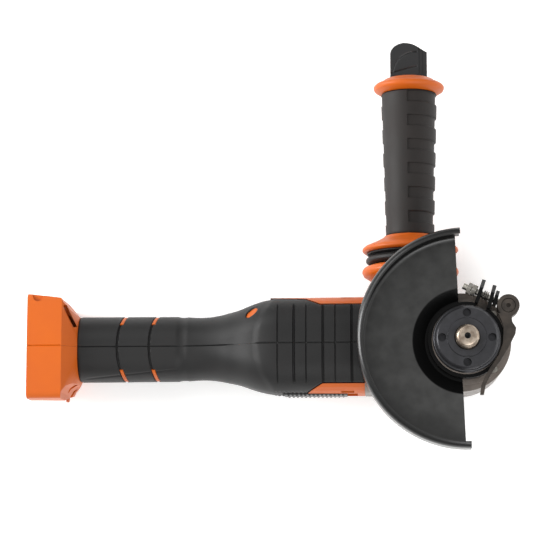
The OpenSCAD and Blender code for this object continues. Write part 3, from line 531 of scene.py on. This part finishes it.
def build_inlay(side, name, place):
    """Orange rib of the housing that fills one end of a groove in the handle's rubber."""
    along = np.linspace(0, 1, 2000)
    y, z, _, _ = (part[0] for part in section_points(np.array([place]), along))
    shown = along[(y > 14.6) & (z > -61.5)]
    y, z, ny, nz = section_points(np.array([place]), np.linspace(shown[0], shown[-1], 40))
    across = np.array([-1.12, -1.1, -0.95, 0.95, 1.1, 1.12])[:, None]
    x = bowed(place, y) + 0.5 + across
    depth = np.where(np.abs(across) > 1, 0.7, 0.4) + 0 * y
    outer = np.stack((x, (y - ny * depth) * side, z - nz * depth), -1)
    root = 1.75 + 0 * depth
    inner = np.stack((x, (y - ny * root) * side, z - nz * root), -1)
    index = np.arange(x.size).reshape(x.shape)
    quads = np.stack((index[:-1, :-1], index[1:, :-1], index[1:, 1:], index[:-1, 1:]), -1).reshape(-1, 4)
    if side > 0:
        quads = quads[:, ::-1]
    piece = new_piece(name, *closed_skin(quads, outer, inner), "orange_nylon", SHARP_COVER_DEG)
    fit_to(piece, "root", "orange_nylon")


# ---------- side handle ----------

WINDOW_ROWS = [77 + 15.3 * i for i in range(6)]  # lower edges of the grip's windows along Y
WINDOW_SIDES = [(-5, 118, 1.0), (-172, -76, 1.25)]  # from, to in degrees from the top towards +X, depth
GRIP_RADIUS, GRIP_FLARE, GRIP_BORE = 15.2, 2.55, 13.7


def build_grip():
    """Rubber grip: a slightly conical sleeve with rows of sunk windows on both sides."""
    ys = list(np.arange(GRIP_START + 0.6, GRIP_END - 0.5, 1.3))
    steps = (-1, -0.5, -0.25, 0, 0.2, 0.45, 0.9, 2, 3.5, 5, 6, 6.3, 6.55, 6.75, 7, 7.3, 7.8)
    for row in WINDOW_ROWS:
        ys = [v for v in ys if not row - 1.2 < v < row + 8.2] + [row + step for step in steps]
    rim = np.array([0, 0.1, 0.3])
    ys = np.concatenate((GRIP_START + rim, sorted(ys), GRIP_END - rim[::-1]))
    turns = np.arange(-180, 180, 2.4)
    for start, end, _ in WINDOW_SIDES:
        for edge in (start, end):
            turns = turns[np.abs(turns - edge) > 3]
            turns = np.concatenate((turns, edge + np.array([-2.4, -1.2, -0.4, 0, 0.4, 0.9, 1.6, 2.6])))
    turns = np.sort(turns)
    angle, height = np.meshgrid(turns, ys)
    radius = GRIP_RADIUS + GRIP_FLARE * (height - GRIP_START) / (GRIP_END - GRIP_START)
    sunk = np.zeros(angle.shape)
    for row in WINDOW_ROWS:
        tall = ease((height - row + 0.1) / 0.5) * ease((row + 7.1 - height) / 0.35)
        for start, end, deep in WINDOW_SIDES:
            sunk = np.maximum(sunk, deep * tall * ease((angle - start) / 1.6) * ease((end - angle) / 1.6))
    edge = np.minimum(height - GRIP_START, GRIP_END - height)
    radius = radius - sunk - 0.5 * (1 - ease(edge / 0.6))
    a = np.radians(angle)
    outer = np.stack((HANDLE_X + radius * np.sin(a), height, HANDLE_Z + radius * np.cos(a)), -1)
    inner = np.stack((HANDLE_X + GRIP_BORE * np.sin(a), height, HANDLE_Z + GRIP_BORE * np.cos(a)), -1)
    rows, columns = angle.shape
    index = np.arange(rows * columns).reshape(rows, columns)
    ahead = np.roll(index, -1, axis=1)
    quads = np.stack((index[:-1], index[1:], ahead[1:], ahead[:-1]), -1).reshape(-1, 4)
    piece = new_piece("side_grip_rubber", *closed_skin(quads, outer, inner), "grip_rubber", SHARP_COVER_DEG)
    fit_to(piece, "side_handle", "black_rubber", "handle_grip")


SPANNER_TOP, SPANNER_UNDERSIDE = 1.8, -2.2  # heights over the handle's axis
SPANNER_PINS = (107, 137)


def build_spanner():
    """Flat two-pin spanner kept in the handle: stepped along one side, with a curved and a slanted line."""
    y = np.unique(np.concatenate((
        np.arange(101, 170, 3.0), np.arange(170, 194.9, 0.4), [101.1, 101.3, 194.8, 194.95])))
    across = np.concatenate(([0, 0.008, 0.02], np.linspace(0.03, 0.97, 90), [0.98, 0.992, 1]))
    left = np.interp(y, [101, 188, 190.3, 192.6, 194.1, 195], [-11.7, -11.7, -11.1, -9.2, -6.7, -3.6])
    right = np.interp(y, [101, 189, 193.5, 194.7, 195], [11.7, 11.7, 3.9, 0.8, -3.6])
    x = left[:, None] + (right - left)[:, None] * across[None, :]
    yy = np.repeat(y[:, None], len(across), 1)
    top = SPANNER_TOP - 0.7 * ease((x - 6.5) / 0.35) - 0.7 * ease((x - 8.5) / 0.35)
    curve = np.hypot(x - 4.5, yy - 174.5) - 14.6
    slant = (yy - 178.4) - 0.29 * x
    top = top - np.where((x < 5.5) & (yy > 176), groove(curve, 0.5, 0.5), 0)
    top = top - np.where(x < 5.5, groove(slant, 0.5, 0.45), 0)
    edge = np.minimum(np.minimum(x - left[:, None], right[:, None] - x), np.minimum(yy - 101, 195 - yy))
    top = top - 0.3 * (1 - ease(edge / 0.35))
    outer = np.stack((HANDLE_X + x, yy, HANDLE_Z + top), -1)
    inner = np.stack((HANDLE_X + x, yy, HANDLE_Z + SPANNER_UNDERSIDE + 0 * x), -1)
    index = np.arange(x.size).reshape(x.shape)
    quads = np.stack((index[:-1, :-1], index[:-1, 1:], index[1:, 1:], index[1:, :-1]), -1).reshape(-1, 4)
    points, faces = closed_skin(quads, outer, inner)
    pin, pin_faces = lathe([(0.01, 1.5), (2.2, 1.5), (2.2, 4.7), (1.9, 5), (0.01, 5)], 32)
    for place in SPANNER_PINS:
        faces += [tuple(i + len(points) for i in face) for face in pin_faces]
        points = np.concatenate((points, pin + (HANDLE_X, place, HANDLE_Z)))
    piece = new_piece("two_pin_spanner", points, faces, "black_nylon", 40)
    fit_to(piece, "spanner", "black_nylon", "disc_spanner")


# ---------- spindle ----------

THREAD_PITCH, THREAD_DEPTH = 2, 0.75
TURN_COUNT = 96  # steps round the spindle


def build_spindle():
    """M14 spindle: plain shaft inside, 2 mm thread where the flange and the nut sit."""
    low, high = (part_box("spindle")[i][2] / MM for i in (0, 1))
    shaft = [
        (0, low), (4.5, low), (4.5, -64), (5.5, -64), (5.5, -33.5),
        (6, -33.5), (6, -17.6), (9, -17.6), (9, -13.1), (7, -13.1)]
    thread = [(7, z) for z in np.arange(-12.8, high - 1.3, 0.2)]
    end = [
        (6.6, high - 1.1), (5.7, high - 0.15), (5.4, high), (1.9, high),
        (1.4, high - 0.5), (1.3, high - 3), (0, high - 3.4)]
    profile = np.array(fillet(shaft, 0.3, 2).tolist() + thread + end)
    turns = np.linspace(0, 2 * math.pi, TURN_COUNT, endpoint=False)
    radius, height = (np.repeat(profile[None, :, i], TURN_COUNT, 0) for i in (0, 1))
    turn = np.repeat(turns[:, None], len(profile), 1)
    wave = np.abs(((height / THREAD_PITCH - turn / (2 * math.pi)) % 1) * 2 - 1)
    threaded = ease((height + 12.9) / 0.4) * ease((high - 1.0 - height) / 0.8)
    radius = radius - THREAD_DEPTH * np.clip(wave * 1.25 - 0.12, 0, 1) * threaded * (radius > 6.9)
    points = np.stack((radius * np.cos(turn), radius * np.sin(turn), height), -1).reshape(-1, 3)
    rows = len(profile)
    faces = []
    for i in range(TURN_COUNT):
        here, there = i * rows, ((i + 1) % TURN_COUNT) * rows
        faces += [(here + k, there + k, there + k + 1, here + k + 1) for k in range(rows - 1)]
    piece = new_piece("threaded_spindle", points, faces, "spindle_steel", 40)
    tidy = bmesh.new()
    tidy.from_mesh(piece.data)
    bmesh.ops.remove_doubles(tidy, verts=tidy.verts, dist=0.0005 * MM)
    tidy.to_mesh(piece.data)
    tidy.free()
    # The centre hole gets the black rubber finish as painted shade
    piece.data.materials.append(FINISHES["black_rubber"])
    for face in piece.data.polygons:
        middle = face.center / MM
        face.material_index = int(math.hypot(middle.x, middle.y) < 1.7 and middle.z > high - 5)
    fit_to(piece, "spindle_set", "spindle_steel", "spindle")


# ---------- what the user can change ----------

class GrinderSizes(bpy.types.PropertyGroup):
    """Sizes of the scene that a user would change."""
    camera_distance: FloatProperty(
        name="Camera distance", description="From the aimed-at point to the camera",
        default=1.304, unit="LENGTH")
    floor_size: FloatProperty(
        name="Floor size", description="Side of the square floor", default=6.0, unit="LENGTH")


class GrinderColours(bpy.types.PropertyGroup):
    """Main colours of the tool."""
    orange: FloatVectorProperty(
        name="Orange nylon", description="Colour of the moulded nylon",
        subtype="COLOR", size=3, default=linear("#C45A05")[:3])
    rubber: FloatVectorProperty(
        name="Black rubber", description="Colour of the body's rubber",
        subtype="COLOR", size=3, default=linear("#131313")[:3])
    grip: FloatVectorProperty(
        name="Grip rubber", description="Colour of the side grip",
        subtype="COLOR", size=3, default=linear("#1B1715")[:3])

    def orange_hex(self):
        return to_hex(self.orange)

    def rubber_hex(self):
        return to_hex(self.rubber)

    def grip_hex(self):
        return to_hex(self.grip)


def to_hex(colour):
    """Linear colour back to sRGB hex."""
    parts = [c * 12.92 if c <= 0.0031308 else 1.055 * c ** (1 / 2.4) - 0.055 for c in colour]
    return "#" + "".join(f"{round(255 * min(max(c, 0), 1)):02X}" for c in parts)


FINISHES = {}
SOFT_EDGES = [  # width in millimetres, CAD nodes that stay in view
    (0.6, "gear_case"),
    (0.5, "housing_left housing_right handle_base_flange handle_guard_flange handle_end_ring handle_damper"),
    (0.35, "bearing_cover lock_nut inner_flange guard_lever guard_shell"),
    (0.25, "guard_collar clamp_plate clamp_screw clamp_nuts lever_pin switch_slider"),
    (0.25, "terminal_block lock_button"),
]


# Name, place and aimed-at point in metres, size in metres, power in watts
LIGHTS = [
    ("key_light", (-0.95, 0.95, 1.1), (-0.1, 0.03, -0.05), 0.8, 7),
    ("top_light", (0.4, -1.0, 1.3), (-0.1, 0.03, -0.05), 1.0, 12),
    ("left_strip", (-1.0, 0.15, 0.3), (-0.1, 0.03, -0.02), 0.5, 10),
    ("right_strip", (0.9, 0.1, 0.35), (-0.05, 0.0, -0.02), 0.6, 2.5),
]
CAMERA_AIM = (-0.1163, 0.0430, -0.0400)
CAMERA_AZIMUTH, CAMERA_ELEVATION = math.radians(20.67), math.radians(81.16)
CAMERA_LENS_MM = 135.9


# ---------- operators ----------

class GRINDER_OT_stage(bpy.types.Operator):
    """Pale floor, soft studio light and the camera"""
    bl_idname = "grinder.stage"
    bl_label = "Stage"

    def execute(self, context):
        sizes = context.scene.grinder_sizes
        half = sizes.floor_size / 2
        mesh = bpy.data.meshes.new("floor")
        corners = [(-half, -half), (half, -half), (half, half), (-half, half)]
        mesh.from_pydata([(x, y, FLOOR_Z * MM) for x, y in corners], [], [(0, 1, 2, 3)])
        # Light table: matt opal sheet, almost white, lit softly from below so that shadows stay pale
        material, tree, shader, place = new_finish("opal_sheet", "#F6F6F5", 0.9)
        shader.inputs["Emission Color"].default_value = (1, 1, 1, 1)
        shader.inputs["Emission Strength"].default_value = 0.34
        fibres = add_node(tree, "ShaderNodeTexNoise", {"Vector": place, "Scale": 0.5, "Detail": 3.0})
        tint = add_node(tree, "ShaderNodeMix", {
            0: fibres.outputs[0], 6: linear("#F7F7F6"), 7: linear("#F4F4F3")}, data_type="RGBA")
        tree.links.new(tint.outputs[2], shader.inputs["Base Color"])
        mesh.materials.append(material)
        floor = bpy.data.objects.new("floor", mesh)
        context.scene.collection.objects.link(floor)

        world = bpy.data.worlds.new("studio")
        world.use_nodes = True
        # A room that is bright overhead and falls off towards its walls
        way = add_node(world.node_tree, "ShaderNodeTexCoord").outputs["Generated"]
        upward = add_node(world.node_tree, "ShaderNodeSeparateXYZ", {0: way}).outputs["Z"]
        brightness = add_node(world.node_tree, "ShaderNodeMapRange", {
            "Value": upward, "From Min": 0.0, "From Max": 0.8, "To Min": 0.3, "To Max": 0.66})
        background = world.node_tree.nodes["Background"]
        background.inputs[0].default_value = (1, 1, 1, 1)
        world.node_tree.links.new(brightness.outputs[0], background.inputs[1])
        context.scene.world = world
        for name, place, aim, size, power in LIGHTS:
            light = bpy.data.lights.new(name, "AREA")
            light.size = size
            light.energy = power
            lamp = bpy.data.objects.new(name, light)
            lamp.location = place
            lamp.rotation_mode = "QUATERNION"
            lamp.rotation_quaternion = (Vector(aim) - Vector(place)).to_track_quat("-Z", "Y")
            context.scene.collection.objects.link(lamp)
        context.scene.view_settings.view_transform = "Standard"

        # The camera looks down the spindle's axis, tipped a little towards the trigger side
        aim = Vector(CAMERA_AIM)
        level = math.cos(CAMERA_ELEVATION)
        back = Vector((
            math.sin(CAMERA_AZIMUTH) * level, -math.cos(CAMERA_AZIMUTH) * level, math.sin(CAMERA_ELEVATION)))
        right = Vector((0, 1, 0)).cross(back).normalized()
        data = bpy.data.cameras.new("camera")
        data.lens = CAMERA_LENS_MM
        data.sensor_width = 36
        data.clip_start, data.clip_end = 0.05, 20
        camera = bpy.data.objects.new("camera", data)
        camera.matrix_world = Matrix.Translation(aim + back * sizes.camera_distance) @ Matrix(
            (right, back.cross(right), back)).transposed().to_4x4()
        context.scene.collection.objects.link(camera)
        context.scene.camera = camera
        return {"FINISHED"}


class GRINDER_OT_finishes(bpy.types.Operator):
    """Makes every finish and puts it on the CAD nodes"""
    bl_idname = "grinder.finishes"
    bl_label = "Finishes"

    def execute(self, context):
        FINISHES.update(make_finishes(context.scene.grinder_colours))
        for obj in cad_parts.values():
            for slot in obj.material_slots:
                slot.material = FINISHES[slot.material.name.split(".")[0]]
        return {"FINISHED"}


class GRINDER_OT_edges(bpy.types.Operator):
    """Rounds the edges of the CAD pieces that stay in view"""
    bl_idname = "grinder.edges"
    bl_label = "Soft edges"

    def execute(self, context):
        for width, names in SOFT_EDGES:
            for name in names.split():
                soften(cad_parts[name], width)
        return {"FINISHED"}


class GRINDER_OT_covers(bpy.types.Operator):
    """Rubber cover of the body, in two halves, and the orange ribs in the handle's grooves"""
    bl_idname = "grinder.covers"
    bl_label = "Rubber cover"

    def execute(self, context):
        build_cover(1, "rubber_cover_left", "cover_left")
        build_cover(-1, "rubber_cover_right", "cover_right")
        for i, place in enumerate(HANDLE_GROOVES):
            build_inlay(1, f"handle_rib_left_{i + 1}", place)
            build_inlay(-1, f"handle_rib_right_{i + 1}", place)
        return {"FINISHED"}


class GRINDER_OT_grip(bpy.types.Operator):
    """Rubber grip of the side handle"""
    bl_idname = "grinder.grip"
    bl_label = "Side grip"

    def execute(self, context):
        build_grip()
        return {"FINISHED"}


class GRINDER_OT_spanner(bpy.types.Operator):
    """Two-pin spanner kept in the side handle"""
    bl_idname = "grinder.spanner"
    bl_label = "Spanner"

    def execute(self, context):
        build_spanner()
        return {"FINISHED"}


class GRINDER_OT_spindle(bpy.types.Operator):
    """Threaded spindle"""
    bl_idname = "grinder.spindle"
    bl_label = "Spindle"

    def execute(self, context):
        build_spindle()
        return {"FINISHED"}


OPERATORS = (
    GRINDER_OT_stage, GRINDER_OT_finishes, GRINDER_OT_edges, GRINDER_OT_covers, GRINDER_OT_grip,
    GRINDER_OT_spanner, GRINDER_OT_spindle)


class GRINDER_PT_panel(bpy.types.Panel):
    """Lists the steps that build the grinder"""
    bl_idname = "GRINDER_PT_panel"
    bl_label = "Angle Grinder"
    bl_space_type = "VIEW_3D"
    bl_region_type = "UI"
    bl_category = "Grinder"

    def draw(self, context):
        for group in (context.scene.grinder_sizes, context.scene.grinder_colours):
            for name in group.__annotations__:
                self.layout.prop(group, name)
        for operator in OPERATORS:
            self.layout.operator(operator.bl_idname)


CLASSES = (GrinderSizes, GrinderColours, *OPERATORS, GRINDER_PT_panel)


def register():
    for cls in CLASSES:
        bpy.utils.register_class(cls)
    bpy.types.Scene.grinder_sizes = PointerProperty(type=GrinderSizes)
    bpy.types.Scene.grinder_colours = PointerProperty(type=GrinderColours)


def unregister():
    del bpy.types.Scene.grinder_colours
    del bpy.types.Scene.grinder_sizes
    for cls in reversed(CLASSES):
        bpy.utils.unregister_class(cls)


def main():
    register()
    for operator in OPERATORS:
        group, name = operator.bl_idname.split(".")
        getattr(getattr(bpy.ops, group), name)()


if __name__ == "__main__":
    main()
